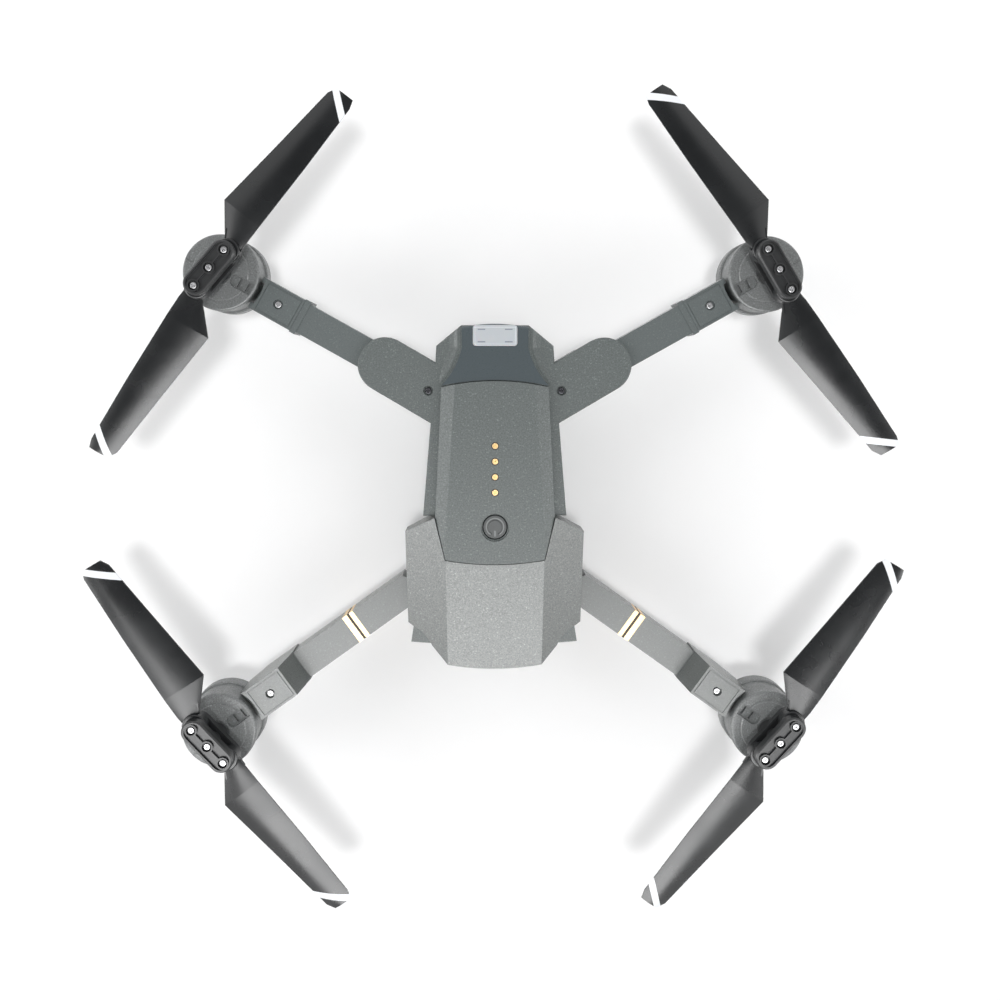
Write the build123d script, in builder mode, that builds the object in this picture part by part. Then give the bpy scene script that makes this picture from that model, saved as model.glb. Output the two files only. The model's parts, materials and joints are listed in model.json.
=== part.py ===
from build123d import *
import os
from math import atan2, cos, degrees, hypot, radians, sin

# Folding quadcopter. +Z is up, +Y is the nose, +X is the right-hand side.
# The origin is on the ground, under the middle of the unfolded drone.
os.makedirs("parts", exist_ok=True)

# ---------------------------------------------------------------- driving dimensions (mm)
MIDDLE_Y = 3.3                  # how far the body's own zero lies ahead of the drone's middle
WALL = 1.4                      # moulded shell thickness
GAP = 0.3                       # space between pieces that move past each other
RUN = 0.05                      # radial clearance of a shaft in its bearing

# heights of the body
BELLY_Z = 10.4                  # underside of the belly
SPLIT_Z = 27.5                  # where the lower and upper shells meet
DECK_Z = 41.0                   # top of the mid deck and the shoulders
TOP_Z = 45.5                    # flat top of the long cover

# arms: pivots, prop shafts and the level of each pod's lower ring
FRONT_PIVOT = (37.8, 44.5)
FRONT_SHAFT = (94.0, 76.0)
FRONT_RING_Z = 21.0
FRONT_ARM_Z = (29.0, 38.0)
REAR_HINGE = (28.0, -34.5)
REAR_HINGE_Z = 13.0
REAR_SHAFT = (97.0, -84.0)
REAR_RING_Z = 21.0
REAR_ARM_Z = (16.2, 27.0)
ARM_W = 10.8
BLOCK_W = 11.8
BLOCK_LEN = 14.5
SLEEVE_W = 12.6
SLEEVE_LEN = 2.2
BLOCK_RISE = 0.6                # the front block stands this much above its arm
REAR_BLOCK_TOP_Z = 38.6
CAP_CLEARANCE = 2.0             # between a pod's cap and the block
BARREL_R = 8.6
PIVOT_PIN_R = 2.0
KNUCKLE_R = 4.2
HINGE_PIN_R = 1.5

# pods, all heights counted up from the lower ring
POD_R = 12.5
RING_R = 13.2
RING_H = 6.0
POD_H = 15.0
CAP_R = 13.1
CAP_DISC_R = 9.7
CAP_H = 4.0
CAP_COLLAR_R = 4.3              # low ridge round the prop shaft
POD_WALL = 1.2
SLOT_W = 4.4
NOTCH_ANGLE = 85.0              # each side notch, measured from the outer end
SHAFT_R = 1.0
MOTOR_R = 3.5
MOTOR_LEN = 16.0
MOTOR_DROP = 5.0                # how far the motor reaches below the ring
FOOT_R = 3.2

# gears
MODULE = 0.3
GEAR_TEETH = 42
PINION_TEETH = 9
GEAR_CENTRES = MODULE * (GEAR_TEETH + PINION_TEETH) / 2
GEAR_Z = 12.2                   # above the ring
GEAR_T = 2.0

# propellers, heights above the ring
HUB_LEN = 21.5
HUB_W = 8.0
PIVOT_OFFSET = 7.7              # from the shaft to each blade pivot
HUB_COLLAR_Z = 19.9
HUB_PLATE_Z = 23.6
BLADE_Z = 26.0
BLADE_T = 3.6
TOP_PLATE_Z = 29.8
TOP_PLATE_T = 3.2
BLADE_PIVOT_R = 1.7
ROOT_R = 4.2

# each corner: side, front or rear, hub angle, angle of each blade, +1 if blades bulge counter-clockwise
CORNERS = {
    "front_left": dict(side=-1, front=True, hub=49.1, blade_a=52.6, blade_b=58.6, hand=1),
    "front_right": dict(side=1, front=True, hub=121.0, blade_a=125.5, blade_b=123.9, hand=-1),
    "rear_left": dict(side=-1, front=False, hub=132.8, blade_a=121.7, blade_b=127.5, hand=-1),
    "rear_right": dict(side=1, front=False, hub=47.8, blade_a=57.8, blade_b=53.6, hand=1),
}


def save(builder, name):
    """Move a finished piece from the body's own zero to the drone's middle, and write it."""
    placed = Pos(0, MIDDLE_Y, 0) * builder.part
    placed.label = name
    export_step(placed, "parts/" + name + ".step")


def arm_frame(corner):
    """Root point, prop shaft point, direction and length of one arm, seen from above."""
    side = corner["side"]
    root = FRONT_PIVOT if corner["front"] else REAR_HINGE
    shaft = FRONT_SHAFT if corner["front"] else REAR_SHAFT
    dx = side * (shaft[0] - root[0])
    dy = shaft[1] - root[1]
    length = hypot(dx, dy)
    return (side * root[0], root[1]), (side * shaft[0], shaft[1]), (dx / length, dy / length), length


def level(point, direction, z):
    """Horizontal plane at height z, its x axis along the given direction."""
    return Plane(origin=(point[0], point[1], z), x_dir=(direction[0], direction[1], 0), z_dir=(0, 0, 1))


def mirrored(points):
    """Points of the right half, followed by the same points on the left in reverse order."""
    return points + [(-x, y) for x, y in reversed(points) if x != 0]


# ---------------------------------------------------------------- body outlines, right half
DECK = [(11.6, 58.1), (20.2, 51.0), (20.6, 44.0), (24.9, -7.8)]
BELLY = [(11.3, 57.8), (19.9, 50.7), (20.7, 30.0), (21.2, -24.0), (17.5, -31.5), (20.6, -38.6),
         (28.9, -47.6), (30.2, -56.0), (14.0, -57.2)]
TAIL_ROOF = [(21.4, -45.0), (28.9, -47.6), (30.2, -56.0), (21.4, -56.7)]   # closes each tail corner on top
TAIL_ROOF_T = 1.6
COVER = [(18.4, 36.8), (20.6, -7.9), (17.0, -22.5)]
COVER_NOSE_Y = 38.9
COVER_TAIL_Y = -24.0
HOOD = [(20.9, -8.1), (31.4, -13.8), (30.7, -46.9), (28.9, -48.0)]
HOOD_CORNER = [(28.9, -48.0), (24.6, -50.7), (22.0, -54.2)]   # concave arc round each rear corner
HOOD_END = (16.4, -60.3)
HOOD_TAIL_Y = -61.8
HOOD_Z = 28.0
HOOD_TAIL_DROP = 4.0            # the crown falls this much from the long cover to the tail
HOOD_SIDE_DROP = 7.5            # and this much from each ridge to the front of the skirt
HOOD_NOTCH_Z = 40.6             # ledge of the hood that lies under the long cover


def cover_outline(grow):
    """Outline of the long cover, with bowed front and rear edges, grown by an offset."""
    with BuildSketch(Plane.XY, mode=Mode.PRIVATE) as outline:
        with BuildLine():
            front = COVER[0]
            tail = COVER[2]
            ThreePointArc((-front[0], front[1]), (0, COVER_NOSE_Y), front)
            Polyline(*COVER)
            ThreePointArc(tail, (0, COVER_TAIL_Y), (-tail[0], tail[1]))
            Polyline(*[(-x, y) for x, y in reversed(COVER)])
        make_face()
        if grow:
            offset(amount=grow, kind=Kind.INTERSECTION)
    return outline.sketch


def cover_body(inset):
    """The long cover as a solid: flat top, a chamfer facet along each side, inset for its hollow."""
    edge_z = TOP_Z - 1.9 - inset
    top_z = TOP_Z - inset
    with BuildPart() as body:
        with BuildSketch(Plane.XY.offset(DECK_Z)):
            add(cover_outline(-inset))
        extrude(amount=top_z - DECK_Z)
        for side in (-1, 1):
            outer_front = (side * (COVER[0][0] - inset), COVER[0][1], edge_z)
            ridge_front = (side * (COVER[0][0] - 4.6), COVER[0][1], top_z)
            ridge_back = (side * (COVER[1][0] - 4.0), COVER[1][1], top_z)
            facet = Plane(Face(Wire.make_polygon([outer_front, ridge_front, ridge_back])))
            keep = Keep.BOTTOM if facet.z_dir.Z > 0 else Keep.TOP
            split(bisect_by=facet, keep=keep)
    return body.part


def hood_body(inset):
    """The battery hood as a solid: flat crown, sloping side facets and a sloping tail."""
    crown_z = TOP_Z - 0.3 - inset
    with BuildPart() as body:
        with BuildSketch(Plane.XY.offset(HOOD_Z + inset)):
            with BuildLine():
                Polyline(*HOOD)
                ThreePointArc(*HOOD_CORNER)
                Line(HOOD_CORNER[-1], HOOD_END)
                ThreePointArc(HOOD_END, (0, HOOD_TAIL_Y), (-HOOD_END[0], HOOD_END[1]))
                Line((-HOOD_END[0], HOOD_END[1]), (-HOOD_CORNER[-1][0], HOOD_CORNER[-1][1]))
                ThreePointArc(*[(-x, y) for x, y in reversed(HOOD_CORNER)])
                Polyline(*[(-x, y) for x, y in reversed(HOOD)])
                Line((-HOOD[0][0], HOOD[0][1]), HOOD[0])
            make_face()
            if inset:
                offset(amount=-inset, kind=Kind.INTERSECTION)
        extrude(amount=crown_z - HOOD_Z - inset)
        for side in (-1, 1):
            ridge_front = (side * COVER[2][0], COVER[2][1], crown_z)
            ridge_back = (side * HOOD_END[0], HOOD_END[1], crown_z - HOOD_TAIL_DROP)
            skirt = (side * HOOD[1][0], HOOD[1][1], crown_z - HOOD_SIDE_DROP)
            facet = Plane(Face(Wire.make_polygon([ridge_front, ridge_back, skirt])))
            keep = Keep.BOTTOM if facet.z_dir.Z > 0 else Keep.TOP
            split(bisect_by=facet, keep=keep)
        tail = Plane(origin=(0, COVER[2][1], crown_z), x_dir=(1, 0, 0),
                     z_dir=(0, -HOOD_TAIL_DROP, COVER[2][1] - HOOD_END[1]))
        split(bisect_by=tail, keep=Keep.BOTTOM)
    return body.part


# ---------------------------------------------------------------- lower shell: belly, hinge lugs, camera bay
CAMERA_AXIS = (0.0, 50.5, 19.5)
CAMERA_R = 6.5
CAMERA_W = 15.0
TRUNNION_R = 1.5
BAY_W = 16.0
SHELL_SCREWS = [(12.0, 38.0), (15.0, -20.0), (15.0, -47.0)]
LUG = (-9.6, -4.3)              # hinge lug, measured outward along the hinge axis
KNUCKLE = (-4.0, 4.0)           # arm knuckle, measured the same way


def hinge_frame(side, along):
    """Plane across a rear hinge pin, at a distance outward along the pin from the arm's centreline."""
    _, _, direction, _ = arm_frame(CORNERS["rear_right" if side > 0 else "rear_left"])
    axis_x = direction[0]
    axis_y = direction[1] + 1.0
    scale = hypot(axis_x, axis_y)
    axis = (axis_x / scale, axis_y / scale, 0)
    origin = (side * REAR_HINGE[0] + along * axis[0], REAR_HINGE[1] + along * axis[1], REAR_HINGE_Z)
    return Plane(origin=origin, x_dir=(0, 0, 1), z_dir=axis)


with BuildPart() as lower_shell:
    with BuildSketch(Plane.XY.offset(BELLY_Z)):
        Polygon(*mirrored(BELLY), align=None)
    extrude(amount=SPLIT_Z - BELLY_Z)
    fillet(lower_shell.edges().group_by(Axis.Z)[0], radius=1.2)
    with BuildSketch(Plane.XY.offset(BELLY_Z + WALL)):
        Polygon(*mirrored(BELLY), align=None)
        offset(amount=-WALL, kind=Kind.INTERSECTION)
    extrude(amount=SPLIT_Z - BELLY_Z, mode=Mode.SUBTRACT)
    # solid nose around the camera, and a post for each shell screw
    with BuildSketch(Plane.XY.offset(BELLY_Z)):
        Polygon(*mirrored([(11.3, 57.8), (14.0, 55.57), (14.0, 42.0), (0.0, 42.0)]), align=None)
    extrude(amount=SPLIT_Z - BELLY_Z)
    with BuildSketch(Plane.XY.offset(BELLY_Z)):
        for x, y in SHELL_SCREWS:
            with Locations((x, y), (-x, y)):
                Circle(2.6)
    extrude(amount=SPLIT_Z - BELLY_Z)
    with BuildSketch(Plane.XY.offset(SPLIT_Z - TAIL_ROOF_T)):
        for side in (-1, 1):
            Polygon(*[(side * x, y) for x, y in TAIL_ROOF], align=None)
    extrude(amount=TAIL_ROOF_T)
    # lugs that hold the rear hinge pins
    for side in (-1, 1):
        with BuildSketch(hinge_frame(side, LUG[0])):
            Circle(KNUCKLE_R)
        extrude(amount=LUG[1] - LUG[0])
        with BuildSketch(hinge_frame(side, LUG[0])):
            Circle(HINGE_PIN_R)
        extrude(amount=LUG[1] - LUG[0], mode=Mode.SUBTRACT)
    # camera bay, open to the front and below
    with BuildSketch(Plane.XY.offset(BELLY_Z - 1.0)):
        with Locations((0, 53.0)):
            Rectangle(BAY_W, 19.0)
    extrude(amount=17.4, mode=Mode.SUBTRACT)
    with BuildSketch(Plane.YZ.offset(-BAY_W / 2 - 2.2)):
        with Locations((CAMERA_AXIS[1], CAMERA_AXIS[2])):
            Circle(TRUNNION_R + RUN)
    extrude(amount=BAY_W + 4.4, mode=Mode.SUBTRACT)
    # screw holes through the posts, counterbored from below
    for x, y in SHELL_SCREWS:
        with Locations((x, y, BELLY_Z), (-x, y, BELLY_Z)):
            Cylinder(0.9, 40.0, mode=Mode.SUBTRACT)
            Cylinder(1.8, 1.6, align=(Align.CENTER, Align.CENTER, Align.MIN), mode=Mode.SUBTRACT)
save(lower_shell, "lower_shell")

# ---------------------------------------------------------------- upper shell: mid deck and shoulders
SHOULDER_R = 9.45
SHOULDER_T = 2.7                # thickness of the plate over each arm pivot
SHOULDER_SKIN = 1.0             # what is left of that plate above each pivot pin
SHOULDER_ROOT_X = 28.4          # the shoulder is a full-height block inboard of this
SHOULDER_INNER = (16.0, 31.65)  # inboard end of the shoulder's centreline
SHOULDER_SCREW = (23.0, 35.6)
DECK_TAIL_Y = DECK[-1][1]


def shoulder_outline(side):
    """Round-ended shoulder from the deck out over one arm pivot."""
    dx = side * (FRONT_PIVOT[0] - SHOULDER_INNER[0])
    dy = FRONT_PIVOT[1] - SHOULDER_INNER[1]
    middle = (side * (FRONT_PIVOT[0] + SHOULDER_INNER[0]) / 2, (FRONT_PIVOT[1] + SHOULDER_INNER[1]) / 2)
    with Locations(middle):
        SlotCenterToCenter(hypot(dx, dy), 2 * SHOULDER_R, rotation=degrees(atan2(dy, dx)))


NECK = [(11.4, 57.4), (11.3, 50.3), (13.3, 44.6), (18.2, 37.4)]
NECK_FRONT_BOW = 1.1
NECK_BACK_Y = 39.3


with BuildSketch(Plane.XY) as neck_sketch:
    # straight at the front, flaring back in a concave curve to the long cover
    with BuildLine():
        ThreePointArc((-NECK[0][0], NECK[0][1]), (0, NECK[0][1] + NECK_FRONT_BOW), NECK[0])
        Line(NECK[0], NECK[1])
        ThreePointArc(NECK[1], NECK[2], NECK[3])
        ThreePointArc(NECK[3], (0, NECK_BACK_Y), (-NECK[3][0], NECK[3][1]))
        ThreePointArc((-NECK[3][0], NECK[3][1]), (-NECK[2][0], NECK[2][1]), (-NECK[1][0], NECK[1][1]))
        Line((-NECK[1][0], NECK[1][1]), (-NECK[0][0], NECK[0][1]))
    make_face()


# concave flank that rises from the deck to each side of the neck: height, spread beyond the neck
FLANK = [(0.0, 4.4), (0.5, 2.8), (1.2, 1.6), (2.2, 0.8), (3.9, 0.45)]
NOSE_FRONT_Z = 43.6
nose_slope = Plane(origin=(0, NECK[3][1], TOP_Z - 0.3), x_dir=(1, 0, 0),
                   z_dir=(0, TOP_Z - 0.3 - NOSE_FRONT_Z, NECK[0][1] - NECK[3][1]))


def flank_sketch(height, spread):
    """Outline of both flanks at one height: the neck, widened most at the front."""
    front, waist, flare, back = [(x + spread * part, y + spread * lift) for (x, y), part, lift
                                 in zip(NECK, (1.0, 1.0, 0.85, 0.25), (0.0, 0.0, 0.5, 0.2))]
    with BuildSketch(Plane.XY.offset(DECK_Z + height)) as outline:
        with BuildLine():
            Line((-front[0], front[1]), front)
            Line(front, waist)
            ThreePointArc(waist, flare, back)
            Line(back, (-back[0], back[1]))
            ThreePointArc((-back[0], back[1]), (-flare[0], flare[1]), (-waist[0], waist[1]))
            Line((-waist[0], waist[1]), (-front[0], front[1]))
        make_face()
    return outline.sketch


with BuildPart() as flanks:
    for height, spread in FLANK:
        add(flank_sketch(height, spread))
    loft(ruled=True)
    with BuildSketch(Plane.XY.offset(DECK_Z)):
        Polygon(*mirrored(DECK), align=None)
        offset(amount=-0.4, kind=Kind.INTERSECTION)
    extrude(amount=FLANK[-1][0], mode=Mode.INTERSECT)
    split(bisect_by=nose_slope.offset(-0.5), keep=Keep.BOTTOM)
    with BuildSketch(Plane.XY.offset(DECK_Z)):
        add(neck_sketch.sketch)
        add(cover_outline(GAP))
    extrude(amount=FLANK[-1][0], mode=Mode.SUBTRACT)


with BuildPart() as upper_shell:
    with BuildSketch(Plane.XY.offset(DECK_Z - SHOULDER_T)):
        Polygon(*mirrored(DECK), align=None)
        shoulder_outline(-1)
        shoulder_outline(1)
    extrude(amount=SHOULDER_T)
    chamfer(upper_shell.faces().sort_by(Axis.Z)[-1].outer_wire().edges(), length=0.4)
    with BuildSketch(Plane.XY.offset(SPLIT_Z)):
        Polygon(*mirrored(DECK), align=None)
        shoulder_outline(-1)
        shoulder_outline(1)
        Rectangle(2 * SHOULDER_ROOT_X, 200.0, mode=Mode.INTERSECT)
    extrude(amount=DECK_Z - SPLIT_Z - SHOULDER_T)
    add(flanks.part)
    # hollow for the board and the battery, open below and to the rear
    with BuildSketch(Plane.XY.offset(SPLIT_Z)):
        Polygon(*mirrored([(9.9, 56.0), (18.2, 50.2), (20.6, 23.4), (23.4, DECK_TAIL_Y)]), align=None)
    extrude(amount=DECK_Z - WALL - SPLIT_Z, mode=Mode.SUBTRACT)
    with BuildSketch(Plane.XY.offset(SPLIT_Z)):
        with Locations((0, DECK_TAIL_Y)):
            Rectangle(44.0, 4.0)
    extrude(amount=DECK_Z - WALL - SPLIT_Z, mode=Mode.SUBTRACT)
    for side in (-1, 1):
        with BuildSketch(Plane.XY.offset(DECK_Z - SHOULDER_SKIN)):
            with Locations((side * FRONT_PIVOT[0], FRONT_PIVOT[1])):
                Circle(PIVOT_PIN_R)
        extrude(amount=-SHOULDER_T, mode=Mode.SUBTRACT)
        with BuildSketch(Plane.XY.offset(DECK_Z)):
            with Locations((side * SHOULDER_SCREW[0], SHOULDER_SCREW[1])):
                Circle(0.9)
        extrude(amount=-7.0, mode=Mode.SUBTRACT)
        with BuildSketch(Plane.XY.offset(DECK_Z)):
            with Locations((side * SHOULDER_SCREW[0], SHOULDER_SCREW[1])):
                Circle(1.7)
        extrude(amount=-1.5, mode=Mode.SUBTRACT)
save(upper_shell, "upper_shell")

# ---------------------------------------------------------------- nose cover and its window
WINDOW = (15.3, 7.2)
WINDOW_Y = 54.5
WINDOW_R = 1.2
with BuildPart() as nose_cover:
    with BuildSketch(Plane.XY.offset(DECK_Z)):
        add(neck_sketch.sketch)
    extrude(amount=TOP_Z - DECK_Z)
    split(bisect_by=nose_slope, keep=Keep.BOTTOM)
    nose_front_edges = nose_cover.edges().filter_by(GeomType.LINE, reverse=True).sort_by(Axis.Y)[-2:]
    fillet(nose_front_edges.sort_by(Axis.Z)[-1], radius=1.2)
    # hollow behind the front skin, and the window's pocket
    with BuildSketch(Plane.XY.offset(DECK_Z)):
        with Locations((0, 46.5)):
            Rectangle(17.0, 14.0)
    extrude(amount=1.6, mode=Mode.SUBTRACT)
    with BuildSketch(nose_slope.offset(0.5)):
        with Locations((0, WINDOW_Y - NECK[3][1])):
            RectangleRounded(WINDOW[0] + 0.1, WINDOW[1] + 0.1, WINDOW_R)
    extrude(amount=-1.6, mode=Mode.SUBTRACT)
save(nose_cover, "nose_cover")

with BuildPart() as nose_window:
    with BuildSketch(nose_slope.offset(-1.1)):
        with Locations((0, WINDOW_Y - NECK[3][1])):
            RectangleRounded(WINDOW[0], WINDOW[1], WINDOW_R)
    extrude(amount=1.2)
    fillet(nose_window.faces().sort_by(Axis.Z)[-1].edges(), radius=0.3)
save(nose_window, "nose_light_window")

# ---------------------------------------------------------------- long cover with the button and lamp holes
BUTTON_Y = -11.2
BUTTON_R = 4.2
BUTTON_TOP_Z = 44.4
BUTTON_FLOOR_Z = 42.4
BUTTON_TRAVEL = 0.6
LAMPS_Y = [16.8, 11.5, 6.1, 0.8]
LAMP_R = 0.8
cover_hollow = cover_body(WALL)
with BuildPart() as top_cover:
    add(cover_body(0))
    add(cover_hollow, mode=Mode.SUBTRACT)
    # collar that guides the button
    with BuildSketch(Plane.XY.offset(DECK_Z + 0.6)):
        with Locations((0, BUTTON_Y)):
            Circle(6.0)
    extrude(amount=TOP_Z - DECK_Z - 0.6)
    with BuildSketch(Plane.XY.offset(DECK_Z)):
        with Locations((0, BUTTON_Y)):
            Circle(BUTTON_R + 0.2)
    extrude(amount=TOP_Z, mode=Mode.SUBTRACT)
    with BuildSketch(Plane.XY.offset(TOP_Z)):
        with Locations((0, BUTTON_Y)):
            Circle(4.9)
    extrude(amount=-0.9, mode=Mode.SUBTRACT)
    with BuildSketch(Plane.XY.offset(TOP_Z)):
        with Locations(*[(0, y) for y in LAMPS_Y]):
            Circle(LAMP_R + 0.05)
    extrude(amount=-3.0, mode=Mode.SUBTRACT)
    with BuildSketch(Plane.XY.offset(TOP_Z)):
        with Locations(*[(0, y) for y in LAMPS_Y]):
            Circle(1.1)
    extrude(amount=-0.25, mode=Mode.SUBTRACT)
save(top_cover, "top_cover")

with BuildPart() as lamp_pins:
    with BuildSketch(Plane.XY.offset(DECK_Z + 0.2)):
        with Locations(*[(0, y) for y in LAMPS_Y]):
            Circle(LAMP_R)
    extrude(amount=TOP_Z - DECK_Z - 0.2)
    chamfer(lamp_pins.edges().group_by(Axis.Z)[-1], length=0.2)
save(lamp_pins, "lamp_pins")

with BuildPart() as power_button:
    with BuildSketch(Plane.XY.offset(BUTTON_FLOOR_Z)):
        with Locations((0, BUTTON_Y)):
            Circle(BUTTON_R)
    extrude(amount=BUTTON_TOP_Z - BUTTON_FLOOR_Z)
    fillet(power_button.edges().group_by(Axis.Z)[-1], radius=0.4)
    # open ring and bar pressed into the top, the usual sign for power
    with BuildSketch(Plane.XY.offset(BUTTON_TOP_Z)):
        with Locations((0, BUTTON_Y)):
            Circle(2.75)
            Circle(2.25, mode=Mode.SUBTRACT)
        with Locations((0, BUTTON_Y - 2.5)):
            Rectangle(2.0, 1.6, mode=Mode.SUBTRACT)
        with Locations((0, BUTTON_Y - 2.3)):
            Rectangle(0.6, 1.9)
    extrude(amount=-0.3, mode=Mode.SUBTRACT)
save(power_button, "power_button")

# ---------------------------------------------------------------- battery: hood and cell
CELL = (31.0, 38.0, 9.4)
CELL_Y = -36.5
hood_hollow = hood_body(1.5)
with BuildPart() as battery_hood:
    add(hood_body(0))
    add(hood_hollow, mode=Mode.SUBTRACT)
    # ledge and walls of the notch that the long cover lies in
    with BuildSketch(Plane.XY.offset(HOOD_NOTCH_Z - 1.5)):
        add(cover_outline(GAP + 1.5))
        with Locations((0, -15.8)):
            Rectangle(80.0, 14.2, mode=Mode.INTERSECT)
    extrude(amount=4.2)
    with BuildSketch(Plane.XY.offset(HOOD_NOTCH_Z)):
        add(cover_outline(GAP))
    extrude(amount=TOP_Z, mode=Mode.SUBTRACT)
    # front opening that the mid deck's tail enters
    with BuildSketch(Plane.XY.offset(HOOD_Z + 1.5)):
        with Locations((0, -10.0)):
            Rectangle(40.0, 12.0)
    extrude(amount=HOOD_NOTCH_Z - HOOD_Z - 3.0, mode=Mode.SUBTRACT)
save(battery_hood, "battery_hood")

with BuildPart() as battery_cell:
    with BuildSketch(Plane.XY.offset(HOOD_Z + 1.5)):
        with Locations((0, CELL_Y)):
            RectangleRounded(CELL[0], CELL[1], 2.0)
    extrude(amount=CELL[2])
    fillet(battery_cell.edges().filter_by(Plane.XY), radius=1.2)
save(battery_cell, "battery_cell")

# ---------------------------------------------------------------- flight board in the lower shell
BOARD_Z = 20.0
BOARD_T = 1.2
with BuildPart() as circuit_board:
    with BuildSketch(Plane.XY.offset(BOARD_Z)):
        with Locations((0, 4.0)):
            RectangleRounded(24.0, 56.0, 2.0)
    extrude(amount=BOARD_T)
    with BuildSketch(Plane.XY.offset(BOARD_Z + BOARD_T)):
        with Locations((0, 12.0)):
            Rectangle(9.0, 9.0)
        with Locations((-8.0, -6.0)):
            Rectangle(5.0, 6.0)
        with Locations((8.0, -8.0)):
            Rectangle(4.0, 4.0)
        with Locations((0, 26.0)):
            Rectangle(12.0, 4.0)
        with Locations((0, -20.0)):
            Rectangle(10.0, 5.0)
    extrude(amount=1.6)
    with BuildSketch(Plane.XY.offset(BELLY_Z + WALL)):
        with Locations((-9.5, 26.0), (9.5, 26.0), (-9.5, -18.0), (9.5, -18.0)):
            Circle(1.4)
    extrude(amount=BOARD_Z - BELLY_Z - WALL)
save(circuit_board, "circuit_board")

# ---------------------------------------------------------------- tilting camera under the nose
SNOUT_R = 5.2
SNOUT_FRONT_Y = 58.6
with BuildPart() as camera_housing:
    with BuildSketch(Plane.YZ.offset(-CAMERA_W / 2)):
        with Locations((CAMERA_AXIS[1], CAMERA_AXIS[2])):
            Circle(CAMERA_R)
    extrude(amount=CAMERA_W)
    fillet(camera_housing.edges().filter_by(GeomType.CIRCLE), radius=1.0)
    with BuildSketch(Plane.XZ.offset(-CAMERA_AXIS[1])):
        with Locations((0, CAMERA_AXIS[2])):
            Circle(SNOUT_R)
    extrude(amount=CAMERA_AXIS[1] - SNOUT_FRONT_Y)
    with BuildSketch(Plane.YZ.offset(-BAY_W / 2 - 2.0)):
        with Locations((CAMERA_AXIS[1], CAMERA_AXIS[2])):
            Circle(TRUNNION_R)
    extrude(amount=BAY_W + 4.0)
    with BuildSketch(Plane.XZ.offset(-SNOUT_FRONT_Y)):
        with Locations((0, CAMERA_AXIS[2])):
            Circle(3.8)
    extrude(amount=3.0, mode=Mode.SUBTRACT)
save(camera_housing, "camera_housing")

with BuildPart() as camera_lens:
    with BuildSketch(Plane.XZ.offset(-(SNOUT_FRONT_Y - 3.0))):
        with Locations((0, CAMERA_AXIS[2])):
            Circle(3.75)
    extrude(amount=-2.1)
    fillet(camera_lens.edges().sort_by(Axis.Y)[-1], radius=1.0)
save(camera_lens, "camera_lens")


# ---------------------------------------------------------------- fasteners
def cross_screw(seat, head_r, head_h, shank_r, shank_len):
    """Cross-head screw whose head stands on the seat plane and whose shank goes down through it."""
    with BuildPart() as screw:
        with BuildSketch(seat):
            Circle(head_r)
        extrude(amount=head_h)
        fillet(screw.faces().sort_by(Axis(seat.origin, seat.z_dir))[-1].edges(), radius=0.25)
        with BuildSketch(seat):
            Circle(shank_r)
        extrude(amount=-shank_len)
        with BuildSketch(seat.offset(head_h)):
            Rectangle(head_r * 1.2, head_r * 0.32)
            Rectangle(head_r * 0.32, head_r * 1.2)
        extrude(amount=-head_h * 0.6, mode=Mode.SUBTRACT)
    return screw.part


with BuildPart() as shoulder_screws:
    for side in (-1, 1):
        shoulder_seat = Plane(origin=(side * SHOULDER_SCREW[0], SHOULDER_SCREW[1], DECK_Z - 1.5), z_dir=(0, 0, 1))
        add(cross_screw(shoulder_seat, 1.1, 0.9, 0.8, 5.0))
save(shoulder_screws, "shoulder_screws")

with BuildPart() as belly_screws:
    for x, y in SHELL_SCREWS:
        for side in (-1, 1):
            belly_seat = Plane(origin=(side * x, y, BELLY_Z + 1.6), z_dir=(0, 0, -1))
            add(cross_screw(belly_seat, 1.5, 1.2, 0.8, 13.0))
save(belly_screws, "belly_screws")

PIVOT_HEAD_R = 4.5              # washer head under each front arm's barrel
PIVOT_HEAD_T = 1.3
PIVOT_HEAD_GAP = 0.4
HINGE_HEAD_R = 2.6
HINGE_HEAD_T = 0.8
with BuildPart() as arm_pivot_pins:
    for side in (-1, 1):
        with BuildSketch(Plane.XY.offset(DECK_Z - SHOULDER_SKIN)):
            with Locations((side * FRONT_PIVOT[0], FRONT_PIVOT[1])):
                Circle(PIVOT_PIN_R)
        extrude(amount=-(DECK_Z - SHOULDER_SKIN - FRONT_ARM_Z[0]) - PIVOT_HEAD_T)
        with BuildSketch(Plane.XY.offset(FRONT_ARM_Z[0] - PIVOT_HEAD_GAP)):
            with Locations((side * FRONT_PIVOT[0], FRONT_PIVOT[1])):
                Circle(PIVOT_HEAD_R)
        extrude(amount=-PIVOT_HEAD_T)
        with BuildSketch(hinge_frame(side, LUG[0])):
            Circle(HINGE_PIN_R)
        extrude(amount=KNUCKLE[1] - LUG[0])
        with BuildSketch(hinge_frame(side, KNUCKLE[1] + GAP)):
            Circle(HINGE_HEAD_R)
        extrude(amount=HINGE_HEAD_T)
        with BuildSketch(hinge_frame(side, KNUCKLE[1])):
            Circle(HINGE_PIN_R)
        extrude(amount=GAP)
save(arm_pivot_pins, "arm_pivot_pins")


# ---------------------------------------------------------------- arms
SEAT_R = 1.7
SEAT_DEPTH = 1.2
SCREW_ALONG = 7.5               # block screw, measured from the block's body end
LINE_INSET = 0.75
LINE_W = 0.28
LINE_DEPTH = 0.25


def screw_seat(top, along):
    """Solid to cut away for the block's screw: a counterbore and a pilot hole."""
    with BuildPart() as hole:
        with BuildSketch(top):
            with Locations((along, 0)):
                Circle(SEAT_R)
        extrude(amount=-SEAT_DEPTH)
        with BuildSketch(top):
            with Locations((along, 0)):
                Circle(0.85)
        extrude(amount=-5.0)
    return hole.part


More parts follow.
